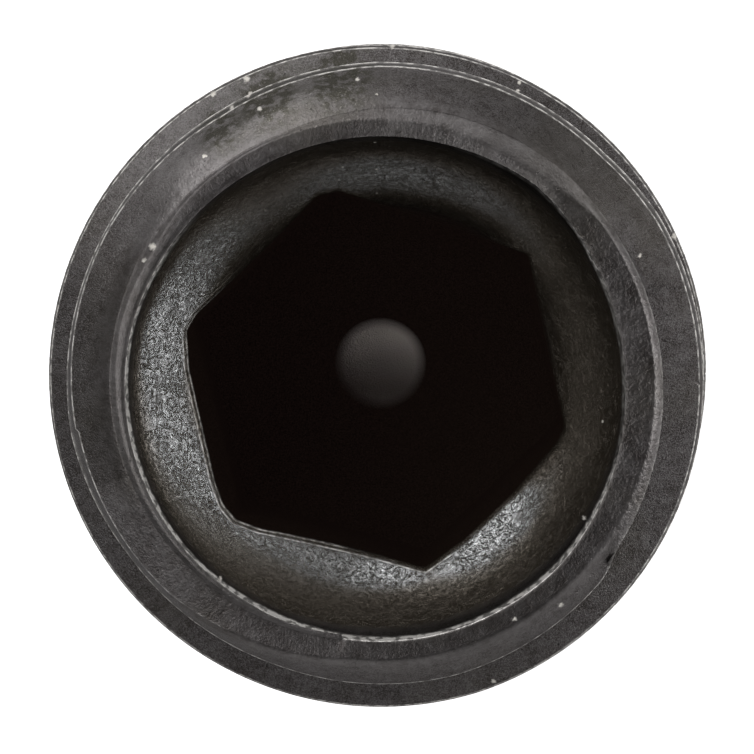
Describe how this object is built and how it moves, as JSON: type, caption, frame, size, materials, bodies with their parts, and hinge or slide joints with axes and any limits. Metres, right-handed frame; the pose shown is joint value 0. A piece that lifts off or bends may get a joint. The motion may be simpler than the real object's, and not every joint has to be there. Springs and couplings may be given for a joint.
{
  "type": "grub set screw",
  "caption": "Headless black set screw with a hexagon socket, a coarse right-hand thread over its whole length and a cup point.",
  "frame": {"origin": "centre of the cup point's rim, on the plane that the screw stands on", "axes": "+Z along the screw's axis, from the cup point to the socket; +X to the right and +Y up in the picture, which looks down into the socket"},
  "size_m": [0.008, 0.008, 0.01],
  "materials": {
    "black_steel": "hardened alloy steel with a black oxide finish, oiled, with light wear on the edges"
  },
  "bodies": {
    "root": {"set_screw": "black_steel"}
  },
  "joints": []
}
